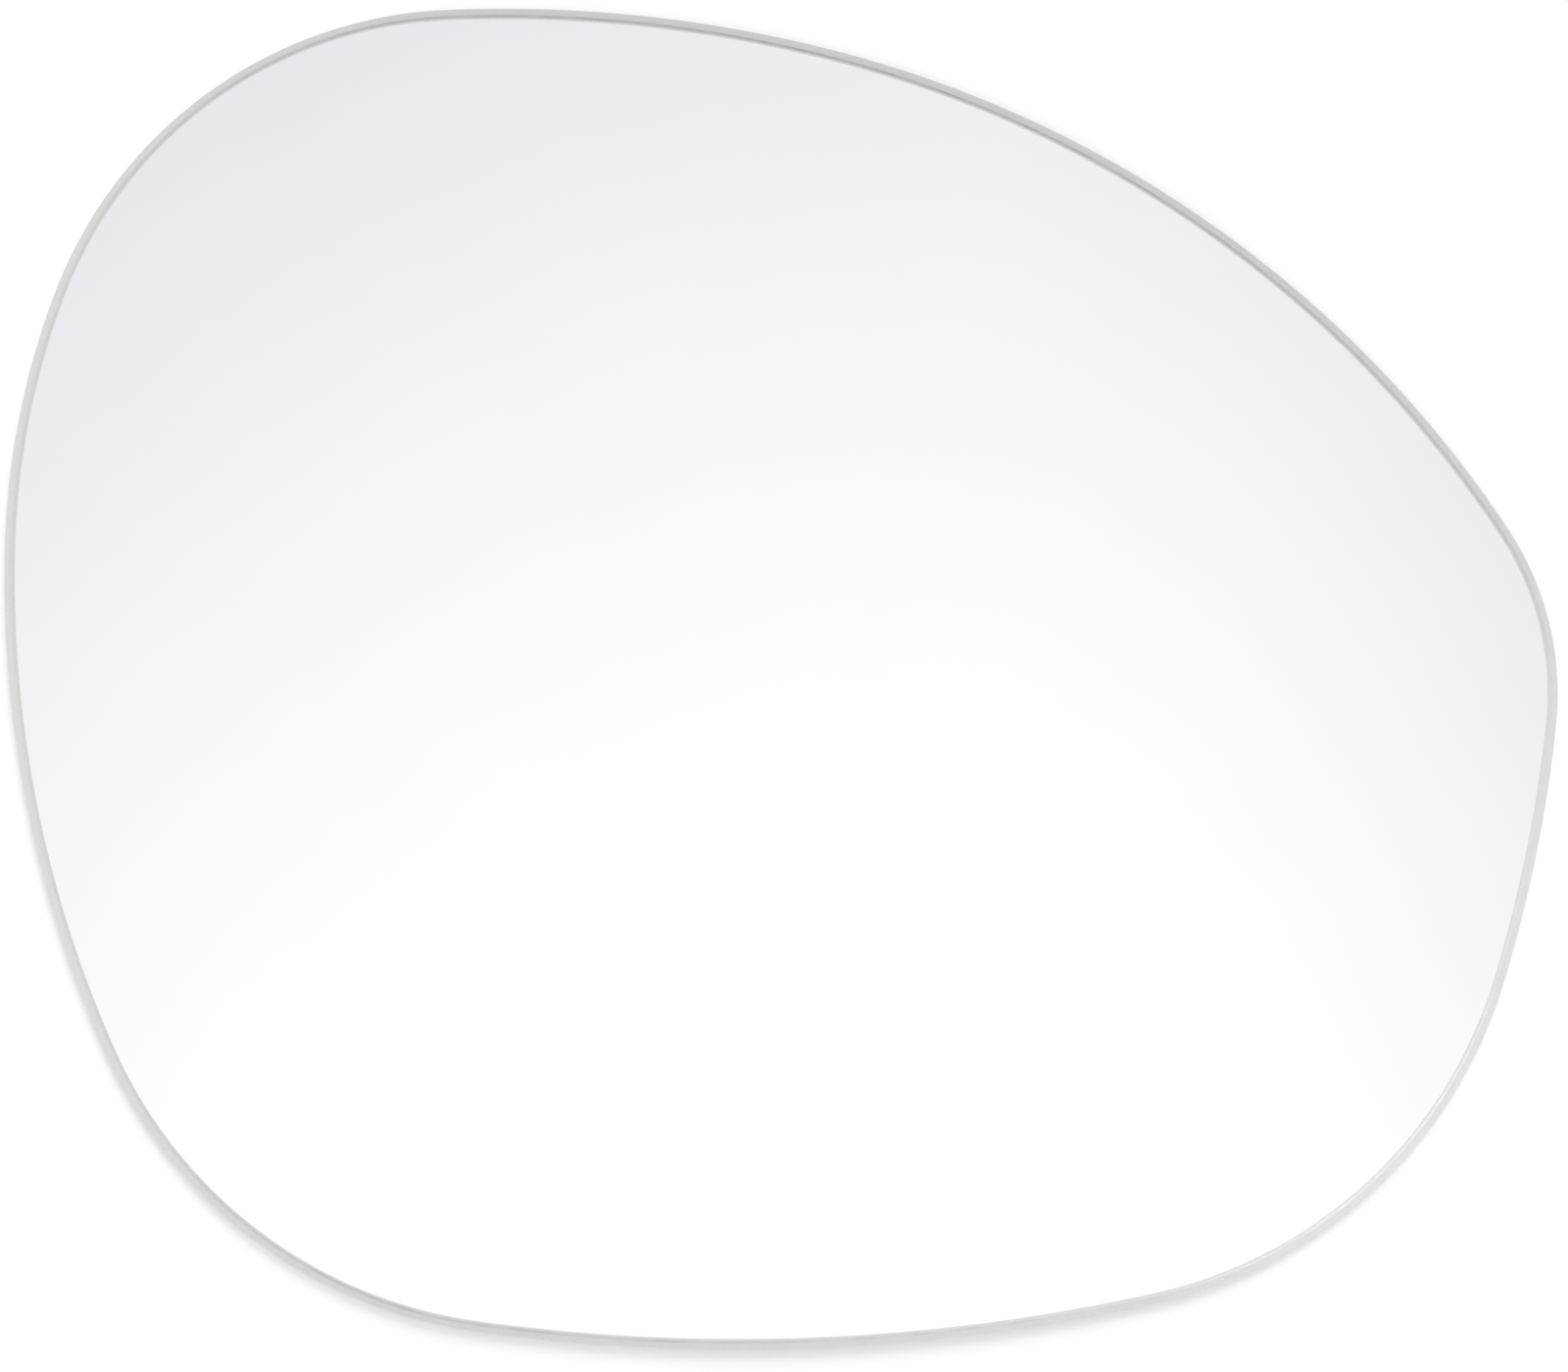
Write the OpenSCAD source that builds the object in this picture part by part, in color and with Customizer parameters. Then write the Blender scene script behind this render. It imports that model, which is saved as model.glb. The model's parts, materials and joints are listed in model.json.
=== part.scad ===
// Glass of a car door mirror: one pane of convex mirror glass with a ground edge.
// It lies on its back. X runs to the right and Y to the top of the glass as the driver
// sees it, and Z out of the reflecting front. The origin is below the middle of the
// outline, on the plane that the rim rests on. All sizes are in millimetres.

/* [Pane] */
// Width of the outline
glass_width = 160; // [120:1:220]
// Height of the outline
glass_height = 138; // [118:1:180]
// Thickness of the glass
glass_thickness = 2; // [1.6:0.1:4]
// Radius of the convex front
front_radius = 1400; // [1200:10:3000]
// Width of the arris that is ground on the front edge
front_arris = 0.95; // [0.3:0.05:1]
// Width of the arris that is ground on the back edge
back_arris = 0.4; // [0.2:0.05:0.6]

/* [Crown] */
// Top of the crown, to the right of the middle of the outline
crown_x = 0.5; // [-20:0.5:20]
// Top of the crown, above the middle of the outline
crown_y = 5; // [-20:0.5:20]

/* [Right corner] */
// Radius of the right corner
right_radius = 30.5; // [15:0.5:55]
// Height of the rightmost point above the middle of the outline
right_y = -1.5; // [-15:0.5:18]

/* [Top] */
// Highest point of the outline, to the right of its middle
top_x = -29; // [-50:0.5:-5]
// Bow radius of the top edge
top_radius = 138; // [60:1:240]
// Turn from the highest point to where the slope down to the right corner begins
top_turn = 15; // [2:1:40]
// Radius of the upper left corner
top_left_radius = 45; // [20:0.5:55]

/* [Left edge] */
// Bow radius of the left edge
left_radius = 121; // [85:1:300]
// Height of the leftmost point above the middle of the outline
left_y = 10.5; // [-12:0.5:20]
// Bow radius of the edge between the left one and the upper left corner
upper_left_radius = 80; // [60:1:118]
// Turn from the leftmost point to where that edge begins
upper_left_turn = 1.5; // [0:0.5:9]
// Radius of the lower left corner
bottom_left_radius = 49; // [30:0.5:75]

/* [Bottom] */
// Bow radius of the bottom edge
bottom_radius = 200; // [100:5:500]
// Lowest point of the outline, to the right of its middle
bottom_x = -4.5; // [-30:0.5:30]
// Radius of the lower right corner
bottom_right_radius = 48; // [30:0.5:65]

/* [Lower right edge] */
// Bow radius of the edge between the right corner and the lower right one
lower_right_radius = 143; // [90:1:400]
// Turn at which that edge leaves the right corner, past upright
lower_right_turn = 6; // [0:0.5:30]

/* [Hidden] */

mirror_silver = [0.93, 0.935, 0.95];
// Length of one facet along the rim
facet_length = 2;
// Facets around a whole ball
ball_facets = 480;
// Step that the height of the balls' centre is rounded to
height_step = 0.01;
// How far the blank reaches past the glass, above the crown and below the rim
blank_margin = 4;

back_radius = front_radius - glass_thickness;
crown = [crown_x, crown_y];

// An arc is [centre, radius]. The ten arcs of the outline run anticlockwise,
// and each one runs into the next without a kink.
right_corner = [[glass_width / 2 - right_radius, right_y], right_radius];
top_edge = [[top_x, glass_height / 2 - top_radius], top_radius];
slope = arc_into(top_edge, 90 - top_turn, right_corner);
left_edge = [[left_radius - glass_width / 2, left_y], left_radius];
upper_left_edge = bow_from(left_edge, upper_left_radius, 180 - upper_left_turn);
bottom_edge = [[bottom_x, bottom_radius - glass_height / 2], bottom_radius];
lower_right_edge = bow_from(right_corner, lower_right_radius, -lower_right_turn);
outline_arcs = [
    right_corner,
    slope,
    top_edge,
    corner_between(top_edge, upper_left_edge, top_left_radius),
    upper_left_edge,
    left_edge,
    corner_between(left_edge, bottom_edge, bottom_left_radius),
    bottom_edge,
    corner_between(bottom_edge, lower_right_edge, bottom_right_radius),
    lower_right_edge,
];

// Every station of the rim is [point, outward direction].
rim = [
    for (i = [0 : len(outline_arcs) - 1])
        let (
            count = len(outline_arcs),
            arc = outline_arcs[i],
            before = outline_arcs[(i + count - 1) % count],
            after = outline_arcs[(i + 1) % count]
        )
        each arc_stations(arc, joint_angle(before, arc), joint_angle(arc, after))
];

// Both faces are parts of balls about one centre, whose height puts the lowest edge of
// the back at zero.
lowest_rise = min([for (s = rim) ball_rise(inset(s, back_arris), back_radius)]);
ball_height = -height_step * round(lowest_rise / height_step);

function way(angle) = [cos(angle), sin(angle)];
function angle_of(v) = atan2(v.y, v.x);

// Arc that leaves the first one where that faces the given angle, and runs into the second.
function arc_into(first, angle, second) =
    let (
        out = way(angle),
        start = first[0] + first[1] * out,
        gap = start - second[0],
        radius = (gap * gap - second[1] ^ 2) / (2 * (gap * out - second[1]))
    )
    [start - radius * out, radius];

// Arc of the given radius that leaves another one where that faces the given angle.
function bow_from(first, radius, angle) = [first[0] - (radius - first[1]) * way(angle), radius];

// Corner of the given radius between two edges, the second following the first.
function corner_between(first, second, radius) =
    let (
        reach_1 = first[1] - radius,
        reach_2 = second[1] - radius,
        gap = norm(second[0] - first[0]),
        along = (second[0] - first[0]) / gap,
        aside = [-along.y, along.x],
        run = (gap ^ 2 + reach_1 ^ 2 - reach_2 ^ 2) / (2 * gap)
    )
    [first[0] + run * along + sqrt(reach_1 ^ 2 - run ^ 2) * aside, radius];

// Direction that two neighbouring arcs face where they touch.
function joint_angle(a, b) = a[1] > b[1] ? angle_of(b[0] - a[0]) : angle_of(a[0] - b[0]);

function arc_stations(arc, from, to) =
    let (
        turn = (to - from + 360) % 360,
        steps = ceil(arc[1] * turn * PI / 180 / facet_length)
    )
    [for (i = [0 : steps - 1]) let (out = way(from + turn * i / steps)) [arc[0] + arc[1] * out, out]];

function inset(station, depth) = station[0] - depth * station[1];

// Height of a ball's surface above its centre, over a point of the outline.
function ball_rise(point, radius) = sqrt(radius ^ 2 - norm(point - crown) ^ 2);

// Ring of points beside the rim: so far inside it, and so far above one of the faces.
function rim_ring(depth, radius, lift) = [
    for (s = rim)
        let (p = inset(s, depth))
        [p.x, p.y, ball_height + ball_rise(s[0], radius) + lift]
];

// The wall and both arrises, on a blank that runs on past the two faces of the glass.
module rim_blank() {
    count = len(rim);
    rings = [
        rim_ring(2 * back_arris, back_radius, -back_arris),
        rim_ring(0, back_radius, back_arris),
        rim_ring(0, front_radius, -front_arris),
        rim_ring(2 * front_arris, front_radius, front_arris),
    ];
    below = [crown.x, crown.y, -blank_margin];
    above = [crown.x, crown.y, ball_height + front_radius + blank_margin];
    low_tip = len(rings) * count;
    high_tip = low_tip + 1;
    last = (len(rings) - 1) * count;
    polyhedron(
        points = [for (ring = rings) each ring, below, above],
        faces = [
            for (i = [0 : count - 1])
                let (j = (i + 1) % count)
                each [
                    [low_tip, i, j],
                    [high_tip, last + j, last + i],
                    for (k = [0 : len(rings) - 2])
                        let (low = k * count, high = low + count)
                        each [[low + i, high + i, high + j], [low + i, high + j, low + j]]
                ]
        ],
        convexity = 4
    );
}

// A ball whose poles lie away from the glass.
module face_ball(radius) {
    translate([crown.x, crown.y, ball_height])
        rotate([90, 0, 0])
            sphere(r = radius, $fn = ball_facets);
}

module mirror_glass() {
    color(mirror_silver)
        difference() {
            intersection() {
                rim_blank();
                face_ball(front_radius);
            }
            face_ball(back_radius);
        }
}

mirror_glass();
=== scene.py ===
"""Looks of a car door mirror's glass, which lies on its back on a pale floor.

The pane is one piece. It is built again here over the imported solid, with the same outline,
faces and arrises, but with true curves in place of facets. Lengths are in metres.
"""
import json
import math

import bpy
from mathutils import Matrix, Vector
from mathutils.geometry import convex_hull_2d


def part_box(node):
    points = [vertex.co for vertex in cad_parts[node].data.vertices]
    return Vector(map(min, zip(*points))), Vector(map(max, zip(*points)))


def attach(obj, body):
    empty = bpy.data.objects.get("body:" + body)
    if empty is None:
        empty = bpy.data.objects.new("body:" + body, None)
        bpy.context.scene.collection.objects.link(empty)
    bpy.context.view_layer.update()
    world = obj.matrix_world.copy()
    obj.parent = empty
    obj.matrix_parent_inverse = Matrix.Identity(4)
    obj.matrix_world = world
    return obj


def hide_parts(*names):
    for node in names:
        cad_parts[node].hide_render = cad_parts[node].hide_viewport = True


MM = 0.001

# The pane, where the frame doesn't say it
NODE = "mirror_glass"
FRONT_RADIUS = 1400 * MM
GLASS_THICKNESS = 2 * MM
FRONT_ARRIS = 0.95 * MM
BACK_ARRIS = 0.4 * MM
# Rounding of the front arris, where it leaves the front and where it meets the wall, and of the
# back one
SHOULDER_RADIUS = 0.7 * MM
NOSE_RADIUS = 0.4 * MM
HEEL_RADIUS = 0.2 * MM
# How far the curved outline keeps inside the solid's facets
KEEP_INSIDE = 0.01 * MM

# The pane's mesh: stations round the outline, steps round each corner of the rim's section,
# distances from the rim of the rings that stiffen the edge of a face, and rings inside those
STATIONS = 768
CORNER_STEPS = 8
SUPPORT_INSETS = [1.6 * MM, 1.9 * MM, 2.4 * MM, 3.2 * MM]
FACE_RINGS = 24
# Corners of the solid that are nearer than this are one
SAME_POINT = 0.1 * MM
# Attribute that holds each vertex's distance from the rim
RIM_DISTANCE = "rim_distance"
# The pane's materials, by slot
COAT, EDGE, PAINT = range(3)

# Finishes. A pair of colours or roughnesses is that at the low and at the high end of a noise.
# Values between which most of a noise lies
NOISE_RANGE = (0.3, 0.7)
# Ground glass: the wheel's grain, and the paler stripes that its passes leave
GRAIN_SIZE = 0.12 * MM
GRAIN_DEPTH = 0.003 * MM
GROUND_GREYS = ((0.74, 0.74, 0.74, 1), (0.82, 0.82, 0.815, 1))
GROUND_ROUGHNESS = (0.5, 0.58)
PASS_SIZE = 3 * MM
PASS_RANGE = (0.35, 0.65)
PASS_GREY = (0.86, 0.86, 0.855, 1)
PASS_SHARE = 0.35
# Polished front. Its polish ends at two distances from the rim: where it starts to give way and
# where it is all gone
POLISH_UNTIL = 1.35 * MM
GROUND_FROM = 1.2 * MM
HAZE_SIZE = 14 * MM
HAZE_RANGE = (0.3, 0.75)
COAT_COLOURS = ((0.962, 0.965, 0.972, 1), (0.968, 0.971, 0.977, 1))
COAT_ROUGHNESS = (0.012, 0.03)
# Painted back. The paint is thinner and paler beside the rim
PEEL_SIZE = 0.9 * MM
PEEL_DEPTH = 0.02 * MM
CLOUD_SIZE = 22 * MM
PAINT_GREYS = ((0.25, 0.26, 0.27, 1), (0.31, 0.32, 0.33, 1))
PAINT_ROUGHNESS = (0.5, 0.62)
THIN_WIDTH = 0.8 * MM
THIN_GREY = (0.42, 0.43, 0.43, 1)
THIN_SHARE = 0.5

# The camera looks straight down: its lens, what its frame spans and where its middle lies
LENS_MM = 100
SENSOR_MM = 36
FRAME_WIDTH = 161.15 * MM
FRAME_MIDDLE = (0.3 * MM, -0.69 * MM)
SIGHT_HEIGHT = 2 * MM

# Light: the share of the floor's light that the key gives, and where the key stands
KEY_SHARE = 0.27
KEY_AZIMUTH = math.radians(76)
KEY_ELEVATION = math.radians(41)
KEY_SPREAD = math.radians(36)
# Tone of the soft light at the horizon. It rises overhead, so that with the key a white floor
# renders white
SOFT_LOW = 0.1

# The floor, and the light of its own that makes it white to what sees the background
FLOOR_SIDE = 12.0
FLOOR_WHITE = (0.9, 0.9, 0.9, 1)
FLOOR_LIFT = 0.14

# The studio that only mirrors see. Places in it are parts of a unit direction.
# White fills an arch: its middle, half widths and half height, how fast the white falls off
# outside it, and the share of the blue that stays
ARCH_MIDDLE = (0.05, -0.59)
ARCH_LEFT = 0.40
ARCH_RIGHT = 0.24
ARCH_RISE = 0.57
ARCH_WHITE = 1.04
ARCH_FALL = 0.37
ARCH_BLUE = 0.1
# Farther from the zenith the arch gives way to an even tone, between these sines
RING_TONE = 0.85
RING_BLEND = (0.31, 0.5)
# Cards over that, each over the one before: (azimuth, where it is whole and where it has faded
# out to either side, in degrees, sines of its foot and top, tone). A dark card, a white one,
# another dark one and a soft box that hangs above.
ON_FLOOR = -1
CARDS = [
    (76, 28, 66, ON_FLOOR, 0.85, 0.02),
    (196, 14, 34, ON_FLOOR, 0.6, 1.2),
    (260, 20, 38, ON_FLOOR, 0.75, 0.05),
    (314, 15, 31, 0.32, 0.75, 3.2),
]
# A foot fades in over this much. A card that stands on the floor is whole up to this share of its top
FOOT_BLEND = 0.15
WHOLE_SHARE = 1 / 3
# The far wall, which is over the cards low down and gives way to them between these sines
WALL_TONE = 0.6
WALL_BLEND = (0.1, 0.3)
# Keeps a division off zero at the zenith
LEAST_LEAN = 0.01


def coloured(level):
    return (level, level, level, 1)


def add_object(name, data):
    thing = bpy.data.objects.new(name, data)
    bpy.context.scene.collection.objects.link(thing)
    return thing


class Shader:
    """A node tree, with short ways to add its nodes."""

    def __init__(self, tree):
        self.tree = tree
        tree.nodes.clear()

    def feed(self, node, name, value):
        """Sets an input on its own socket, or links it where the value is another node's output."""
        if isinstance(value, bpy.types.NodeSocket):
            self.tree.links.new(value, node.inputs[name])
        else:
            node.inputs[name].default_value = value

    def add(self, kind, inputs=None, **settings):
        node = self.tree.nodes.new(kind)
        for name, value in settings.items():
            setattr(node, name, value)
        for name, value in (inputs or {}).items():
            self.feed(node, name, value)
        return node

    def math(self, operation, *values):
        return self.add("ShaderNodeMath", dict(enumerate(values)), operation=operation).outputs[0]

    def blend(self, factor, first, second):
        """First number at 0, second at 1."""
        return self.math("MULTIPLY_ADD", factor, self.math("SUBTRACT", second, first), first)

    def mix(self, factor, first, second):
        """First colour at 0, second at 1."""
        node = self.add("ShaderNodeMix", {"Factor": factor, 6: first, 7: second}, data_type="RGBA")
        return node.outputs[2]

    def ramp(self, value, start, end, low=0.0, high=1.0):
        """Eases from low at start to high at end."""
        inputs = {"Value": value, "From Min": start, "From Max": end, "To Min": low, "To Max": high}
        return self.add("ShaderNodeMapRange", inputs, interpolation_type="SMOOTHSTEP").outputs[0]

    def noise(self, size, detail=2.0):
        """Noise over the object, with features of about the given size."""
        place = self.add("ShaderNodeTexCoord").outputs["Object"]
        inputs = {"Vector": place, "Scale": 1 / size, "Detail": detail}
        return self.add("ShaderNodeTexNoise", inputs).outputs[0]

    def bump(self, height, depth):
        return self.add("ShaderNodeBump", {"Height": height, "Distance": depth}).outputs[0]

    def rim_distance(self):
        return self.add("ShaderNodeAttribute", attribute_name=RIM_DISTANCE).outputs["Fac"]

    def camera_rays(self):
        return self.add("ShaderNodeLightPath").outputs["Is Camera Ray"]

    def mirror_rays(self):
        """1 for the rays off metal and through glass."""
        path = self.add("ShaderNodeLightPath").outputs
        return self.math("MAXIMUM", path["Is Glossy Ray"], path["Is Transmission Ray"])


def new_material(name):
    material = bpy.data.materials.new(name)
    material.use_nodes = True
    shader = Shader(material.node_tree)
    surface = shader.add("ShaderNodeBsdfPrincipled")
    shader.add("ShaderNodeOutputMaterial", {"Surface": surface.outputs[0]})
    return material, shader, surface


def finish_surface(shader, surface, **values):
    """Feeds the surface shader. An underscore in a name stands for a space."""
    for name, value in values.items():
        shader.feed(surface, name.replace("_", " "), value)


def ground_finish(shader):
    """Glass ground to a satin grey: (colour, roughness, grain)."""
    grain = shader.noise(GRAIN_SIZE, detail=3)
    passes = shader.noise(PASS_SIZE)
    grey = shader.mix(shader.ramp(grain, *NOISE_RANGE), *GROUND_GREYS)
    colour = shader.mix(shader.ramp(passes, *PASS_RANGE, 0, PASS_SHARE), grey, PASS_GREY)
    return colour, shader.ramp(passes, *NOISE_RANGE, *GROUND_ROUGHNESS), grain


def mirror_coat():
    """Polished glass over a bright coat, with a breath of haze. Its shoulder has the ground finish."""
    material, shader, surface = new_material("mirror_coat")
    worn = shader.ramp(shader.rim_distance(), GROUND_FROM, POLISH_UNTIL, 1, 0)
    haze = shader.noise(HAZE_SIZE, detail=4)
    coat = shader.mix(shader.ramp(haze, *NOISE_RANGE), *COAT_COLOURS)
    coat_rough = shader.ramp(haze, *HAZE_RANGE, *COAT_ROUGHNESS)
    ground, ground_rough, grain = ground_finish(shader)
    finish_surface(
        shader, surface,
        Base_Color=shader.mix(worn, coat, ground),
        Metallic=1.0,
        Roughness=shader.blend(worn, coat_rough, ground_rough),
        Normal=shader.bump(shader.math("MULTIPLY", grain, worn), GRAIN_DEPTH),
    )
    return material


def ground_edge():
    """The arrises and the wall."""
    material, shader, surface = new_material("ground_edge")
    ground, rough, grain = ground_finish(shader)
    finish_surface(
        shader, surface,
        Base_Color=ground,
        Metallic=1.0,
        Roughness=rough,
        Normal=shader.bump(grain, GRAIN_DEPTH),
    )
    return material


def back_paint():
    """Matt grey protective paint, sprayed on, with a fine orange peel."""
    material, shader, surface = new_material("back_paint")
    peel = shader.noise(PEEL_SIZE)
    cloud = shader.noise(CLOUD_SIZE, detail=4)
    paint = shader.mix(shader.ramp(cloud, *NOISE_RANGE), *PAINT_GREYS)
    thin = shader.ramp(shader.rim_distance(), BACK_ARRIS, BACK_ARRIS + THIN_WIDTH, THIN_SHARE, 0)
    finish_surface(
        shader, surface,
        Base_Color=shader.mix(thin, paint, THIN_GREY),
        Roughness=shader.ramp(cloud, *NOISE_RANGE, *PAINT_ROUGHNESS),
        Normal=shader.bump(peel, PEEL_DEPTH),
    )
    return material


def solid_outline(node):
    """Corners of the solid's outline, seen from above, anticlockwise."""
    corners = [v.co.xy for v in node.data.vertices]
    hull = [corners[i] for i in convex_hull_2d(corners)]
    hull = [p for i, p in enumerate(hull) if (p - hull[i - 1]).length > SAME_POINT]
    turn = sum(hull[i - 1].cross(p) for i, p in enumerate(hull))
    return hull if turn > 0 else hull[::-1]


def smooth_outline(corners):
    """Stations on a closed curve through the corners, as [(point, outward direction)]."""
    stations = []
    count = len(corners)
    for k in range(STATIONS):
        place = k * count / STATIONS
        i = int(place)
        t = place - i
        # one span of a Catmull-Rom curve, from b to c, and its direction
        a, b, c, d = (corners[(i + j) % count] for j in (-1, 0, 1, 2))
        bend = 2 * a - 5 * b + 4 * c - d
        twist = 3 * b - a - 3 * c + d
        point = 0.5 * (2 * b + (c - a) * t + bend * t ** 2 + twist * t ** 3)
        along = 0.5 * ((c - a) + 2 * bend * t + 3 * twist * t ** 2)
        out = Vector((along.y, -along.x)).normalized()
        stations.append((point - KEEP_INSIDE * out, out))
    return stations


class Pane:
    """The pane's two faces, which are parts of balls about one centre below the crown."""

    def __init__(self, stations, crown, low, high):
        self.stations = stations
        self.crown = crown
        self.back_radius = FRONT_RADIUS - GLASS_THICKNESS
        self.front_top = high
        # the back's edge is lowest where it is farthest from the crown
        farthest = max((p - BACK_ARRIS * out - crown).length for p, out in stations)
        self.back_top = low + self.back_radius - math.sqrt(self.back_radius ** 2 - farthest ** 2)
        self.thickness = self.front_top - self.back_top

    def face_height(self, point, top, radius):
        return top - radius + math.sqrt(radius ** 2 - (point - self.crown).length_squared)

    def height(self, point, share):
        """Height over a point, from the back face at 0 to the front face at 1."""
        back = self.face_height(point, self.back_top, self.back_radius)
        front = self.face_height(point, self.front_top, FRONT_RADIUS)
        return back + share * (front - back)

    def ball_normal(self, point):
        """The front ball's direction over a point. The back ball's is the same, but for its sign."""
        lean = (point - self.crown) / FRONT_RADIUS
        return Vector((lean.x, lean.y, math.sqrt(1 - lean.length_squared)))


def rim_section(thickness):
    """Section of the rim from the front face to the back: (inset, share of the thickness, tilt).

    The tilt is that of the surface's direction, from 0 for up to pi for down.
    """
    corners = [
        (FRONT_ARRIS, thickness, SHOULDER_RADIUS),
        (0, thickness - FRONT_ARRIS, NOSE_RADIUS),
        (0, BACK_ARRIS, HEEL_RADIUS),
        (BACK_ARRIS, 0, HEEL_RADIUS),
    ]
    # the section turns over in all, by the same angle at each corner
    half_turn = math.pi / len(corners) / 2
    section = []
    for number, (inset, height, radius) in enumerate(corners):
        middle = (2 * number + 1) * half_turn
        reach = radius / math.cos(half_turn)
        centre = (inset + reach * math.sin(middle), height - reach * math.cos(middle))
        for step in range(CORNER_STEPS + 1):
            tilt = middle + half_turn * (2 * step / CORNER_STEPS - 1)
            place = centre[0] - radius * math.sin(tilt)
            share = (centre[1] + radius * math.cos(tilt)) / thickness
            section.append((place, share, tilt))
    return section


class Skin:
    """Vertices, normals and faces of the pane, gathered ring by ring.

    A share is that of the thickness, from the back face at 0 to the front face at 1.
    """

    def __init__(self, pane):
        self.pane = pane
        self.points = []
        self.normals = []
        self.rim_distances = []
        self.faces = []
        self.slots = []

    def vertex(self, point, share, normal, rim_distance):
        self.points.append((point.x, point.y, self.pane.height(point, share)))
        self.normals.append(normal.normalized())
        self.rim_distances.append(rim_distance)
        return len(self.points) - 1

    def face_vertex(self, point, share, rim_distance):
        normal = self.pane.ball_normal(point)
        return self.vertex(point, share, normal if share == 1 else -normal, rim_distance)

    def rim_ring(self, inset, share, tilt):
        """One ring beside the outline."""
        ring = []
        for point, out in self.pane.stations:
            place = point - inset * out
            normal = self.pane.ball_normal(place) * math.cos(tilt) + Vector((*out, 0)) * math.sin(tilt)
            ring.append(self.vertex(place, share, normal, inset))
        return ring

    def face_ring(self, scale, count, share):
        """One ring of a face: the innermost support ring, drawn in towards the crown."""
        crown = self.pane.crown
        ring = []
        for point, out in self.pane.stations[::STATIONS // count]:
            edge = point - SUPPORT_INSETS[-1] * out
            place = crown + scale * (edge - crown)
            rim_distance = (edge - place).length + SUPPORT_INSETS[-1]
            ring.append(self.face_vertex(place, share, rim_distance))
        return ring

    def join(self, outer, inner, slot, flip):
        """Fills the band between two rings. The inner one has as many points or half as many."""
        ratio = len(outer) // len(inner)
        for i in range(len(inner)):
            j = (i + 1) % len(inner)
            span = [outer[(i * ratio + k) % len(outer)] for k in range(ratio + 1)]
            if ratio == 1:
                new = [[span[0], span[1], inner[j], inner[i]]]
            else:
                new = [
                    [span[0], span[1], inner[i]],
                    [span[1], inner[j], inner[i]],
                    [span[1], span[2], inner[j]],
                ]
            self.add_faces(new, slot, flip)

    def add_faces(self, faces, slot, flip):
        self.faces += [face[::-1] if flip else face for face in faces]
        self.slots += [slot] * len(faces)

    def cover(self, ring, share, slot):
        """Closes one face from its rim ring inwards."""
        flip = share == 0
        tilt = math.pi if flip else 0
        for inset in SUPPORT_INSETS:
            inner = self.rim_ring(inset, share, tilt)
            self.join(ring, inner, slot, flip)
            ring = inner
        for number in range(FACE_RINGS - 1, 0, -1):
            # half as many points each time that the rings have shrunk to half
            count = STATIONS >> int(math.log2(FACE_RINGS / number))
            inner = self.face_ring(number / FACE_RINGS, count, share)
            self.join(ring, inner, slot, flip)
            ring = inner
        middle = self.face_vertex(self.pane.crown, share, FRONT_RADIUS)
        fan = [[ring[i], ring[(i + 1) % len(ring)], middle] for i in range(len(ring))]
        self.add_faces(fan, slot, flip)


def pane_skin():
    low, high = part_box(NODE)
    crown = Vector(frame["record"]["mounts"][0]["pos_m"][:2])
    stations = smooth_outline(solid_outline(frame["nodes"][NODE]))
    pane = Pane(stations, crown, low.z, high.z)
    skin = Skin(pane)
    rings = [skin.rim_ring(*place) for place in rim_section(pane.thickness)]
    for number, (upper, lower) in enumerate(zip(rings, rings[1:])):
        skin.join(lower, upper, COAT if number < CORNER_STEPS else EDGE, False)
    skin.cover(rings[0], 1, COAT)
    skin.cover(rings[-1], 0, PAINT)
    return skin


def make_pane():
    skin = pane_skin()
    mesh = bpy.data.meshes.new("mirror_pane")
    mesh.from_pydata(skin.points, [], skin.faces)
    for material in (mirror_coat(), ground_edge(), back_paint()):
        mesh.materials.append(material)
    mesh.polygons.foreach_set("material_index", skin.slots)
    mesh.polygons.foreach_set("use_smooth", [True] * len(skin.faces))
    distance = mesh.attributes.new(RIM_DISTANCE, "FLOAT", "POINT")
    distance.data.foreach_set("value", skin.rim_distances)
    mesh.normals_split_custom_set_from_vertices(skin.normals)
    piece = add_object("mirror_pane", mesh)
    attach(piece, "root")
    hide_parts(NODE)


def make_floor():
    """A plain white floor. What sees the background sees it a little lifted, so that it is white."""
    material, shader, surface = new_material("floor")
    lifted = shader.math("MAXIMUM", shader.camera_rays(), shader.mirror_rays())
    finish_surface(
        shader, surface,
        Base_Color=FLOOR_WHITE,
        Roughness=1.0,
        Specular_IOR_Level=0.0,
        Emission_Color=coloured(1),
        Emission_Strength=shader.math("MULTIPLY", lifted, FLOOR_LIFT),
    )
    half = FLOOR_SIDE / 2
    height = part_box(NODE)[0].z
    corners = [(half * x, half * y, height) for x, y in ((-1, -1), (1, -1), (1, 1), (-1, 1))]
    mesh = bpy.data.meshes.new("floor")
    mesh.from_pydata(corners, [], [(0, 1, 2, 3)])
    mesh.materials.append(material)
    add_object("floor", mesh)


def arch(shader, x, y):
    """White over an arch, and greyer and bluer away from it."""
    aside = shader.math("SUBTRACT", x, ARCH_MIDDLE[0])
    right = shader.math("DIVIDE", aside, ARCH_RIGHT)
    left = shader.math("DIVIDE", aside, -ARCH_LEFT)
    across = shader.math("MAXIMUM", right, left)
    rise = shader.math("DIVIDE", shader.math("SUBTRACT", y, ARCH_MIDDLE[1]), ARCH_RISE)
    up = shader.math("MAXIMUM", rise, 0)
    out = shader.math("SQRT", shader.math("MULTIPLY_ADD", up, up, shader.math("MULTIPLY", across, across)))
    beyond = shader.math("MAXIMUM", shader.math("SUBTRACT", out, 1), 0)
    tone = shader.math("MULTIPLY_ADD", beyond, -ARCH_FALL, 1)
    return shader.mix(tone, (0, 0, ARCH_BLUE * ARCH_WHITE, 1), coloured(ARCH_WHITE))


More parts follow.
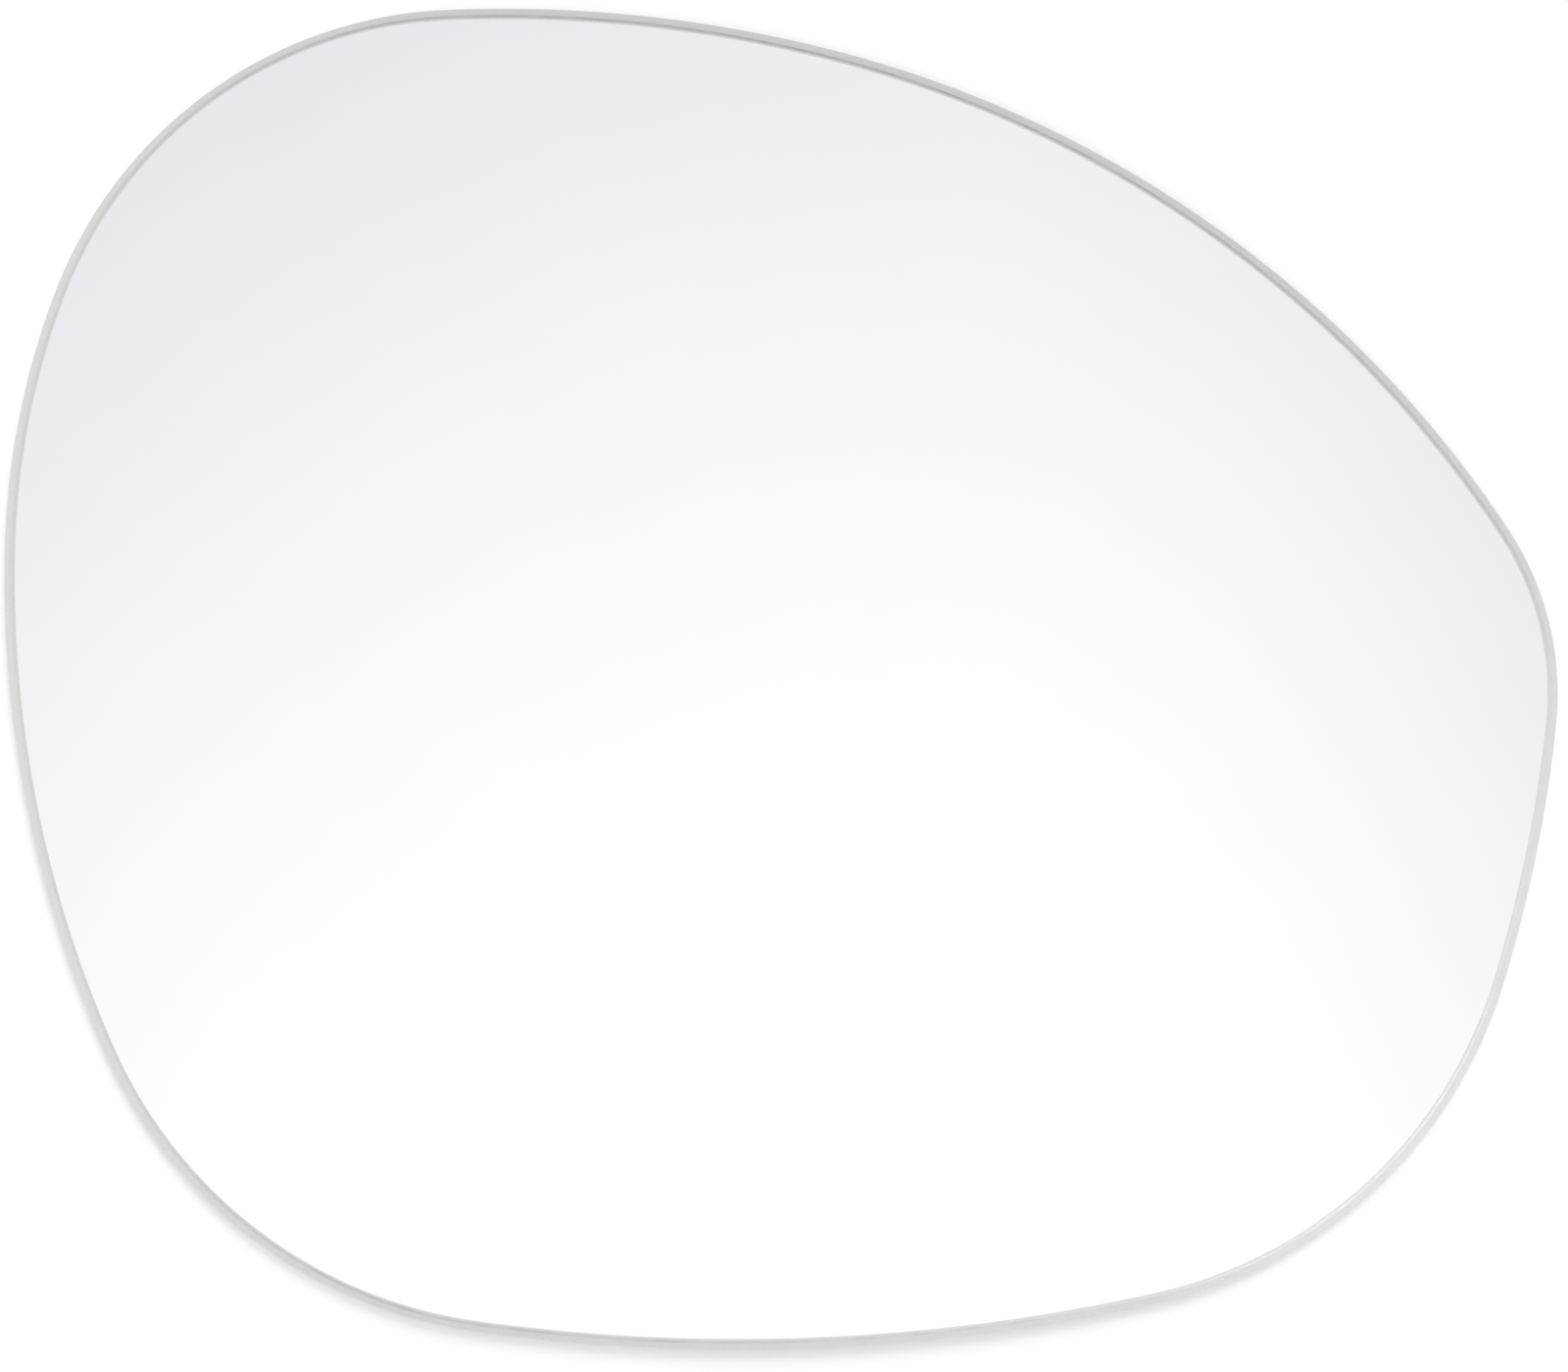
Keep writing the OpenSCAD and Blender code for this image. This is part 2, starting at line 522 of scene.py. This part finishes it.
def card_share(shader, way, z, lean, azimuth, inner, outer, foot, top):
    """Share of a card in a direction, given also by its height and by its sine from the zenith."""
    facing = (math.cos(azimuth), math.sin(azimuth), 0)
    along = shader.add("ShaderNodeVectorMath", {0: way, 1: facing}, operation="DOT_PRODUCT")
    side = shader.math("DIVIDE", along.outputs["Value"], shader.math("MAXIMUM", lean, LEAST_LEAN))
    beside = shader.ramp(side, math.cos(outer), math.cos(inner))
    whole_at = foot + FOOT_BLEND
    above = shader.ramp(z, foot, whole_at)
    below = shader.ramp(z, top * WHOLE_SHARE if foot == ON_FLOOR else whole_at, top, 1, 0)
    return shader.math("MULTIPLY", beside, shader.math("MULTIPLY", above, below))


def mirrored_studio(shader, way):
    """Colour of the studio by direction: an arch overhead, then an even ring, cards and a far wall."""
    split = shader.add("ShaderNodeSeparateXYZ", {0: way}).outputs
    z = split["Z"]
    lean = shader.math("SQRT", shader.math("SUBTRACT", 1, shader.math("MULTIPLY", z, z)))
    ring_share = shader.ramp(lean, *RING_BLEND)
    colour = shader.mix(ring_share, arch(shader, split["X"], split["Y"]), coloured(RING_TONE))
    for azimuth, inner, outer, foot, top, tone in CARDS:
        angles = (math.radians(angle) for angle in (azimuth, inner, outer))
        share = card_share(shader, way, z, lean, *angles, foot, top)
        colour = shader.mix(share, colour, coloured(tone))
    return shader.mix(shader.ramp(z, *WALL_BLEND), coloured(WALL_TONE), colour)


def make_world():
    """White to the camera, the studio to what mirrors it, and an even soft light to all else."""
    world = bpy.data.worlds.new("studio")
    bpy.context.scene.world = world
    world.use_nodes = True
    shader = Shader(world.node_tree)
    way = shader.add("ShaderNodeTexCoord").outputs["Generated"]
    z = shader.add("ShaderNodeSeparateXYZ", {0: way}).outputs["Z"]
    # to a floor, the square of the height averages a half over the sky
    rise = 2 * (1 - KEY_SHARE - SOFT_LOW)
    soft = shader.math("MULTIPLY_ADD", shader.math("MULTIPLY", z, z), rise, SOFT_LOW)
    light = shader.mix(shader.mirror_rays(), soft, mirrored_studio(shader, way))
    seen = shader.mix(shader.camera_rays(), light, coloured(1))
    background = shader.add("ShaderNodeBackground", {"Color": seen, "Strength": 1.0})
    shader.add("ShaderNodeOutputWorld", {"Surface": background.outputs[0]})


def make_key():
    """A wide soft lamp beyond the top of the pane, which gives the soft shadow along its bottom."""
    lamp = bpy.data.lights.new("key", "SUN")
    lamp.energy = KEY_SHARE * math.pi / math.sin(KEY_ELEVATION)
    lamp.angle = KEY_SPREAD
    key = add_object("key", lamp)
    level = math.cos(KEY_ELEVATION)
    place = Vector((level * math.cos(KEY_AZIMUTH), level * math.sin(KEY_AZIMUTH), math.sin(KEY_ELEVATION)))
    key.location = place
    key.rotation_euler = place.to_track_quat("Z", "Y").to_euler()
    key.visible_glossy = False


def make_camera():
    """Straight above the pane, with the photo's frame."""
    data = bpy.data.cameras.new("camera")
    data.sensor_width = SENSOR_MM
    data.lens = LENS_MM
    camera = add_object("camera", data)
    distance = FRAME_WIDTH * LENS_MM / SENSOR_MM
    camera.location = (*FRAME_MIDDLE, SIGHT_HEIGHT + distance)
    bpy.context.scene.camera = camera


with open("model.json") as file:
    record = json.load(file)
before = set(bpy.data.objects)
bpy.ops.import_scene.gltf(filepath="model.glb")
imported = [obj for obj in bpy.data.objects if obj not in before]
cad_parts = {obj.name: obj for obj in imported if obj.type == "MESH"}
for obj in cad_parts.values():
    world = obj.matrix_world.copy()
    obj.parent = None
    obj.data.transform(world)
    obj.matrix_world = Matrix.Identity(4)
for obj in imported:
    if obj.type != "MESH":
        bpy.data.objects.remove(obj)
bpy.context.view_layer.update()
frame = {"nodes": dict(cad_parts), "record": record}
bpy.context.scene.view_settings.view_transform = "Standard"
make_camera()
make_pane()
make_floor()
make_world()
make_key()
